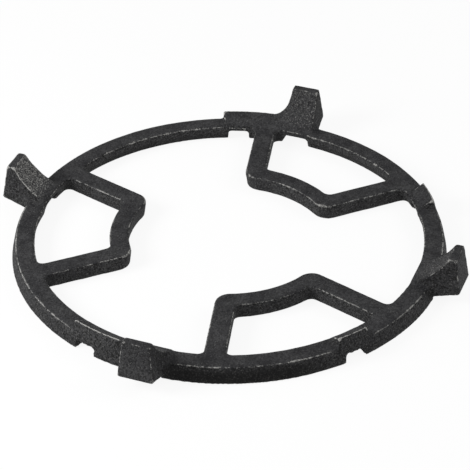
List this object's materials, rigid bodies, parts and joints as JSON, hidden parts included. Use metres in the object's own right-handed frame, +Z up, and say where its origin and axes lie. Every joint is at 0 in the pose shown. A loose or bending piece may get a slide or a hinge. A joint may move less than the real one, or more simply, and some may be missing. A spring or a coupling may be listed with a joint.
{
  "type": "wok ring",
  "caption": "Cast iron wok ring that stands on the pan support of a gas hob and holds a round-bottomed wok steady on its raised lugs.",
  "frame": {"origin": "on the ring's axis, in the plane of its underside", "axes": "+Z up along the ring's axis; the lugs lie on +X, +Y, -X and -Y, and a notch of the set of five lies under the lug on +Y"},
  "size_m": [0.2674, 0.2674, 0.0279],
  "materials": {
    "cast_iron": "sand-cast, matt black, worn brighter along the edges"
  },
  "bodies": {
    "root": {"wok_ring": "cast_iron"}
  },
  "joints": []
}
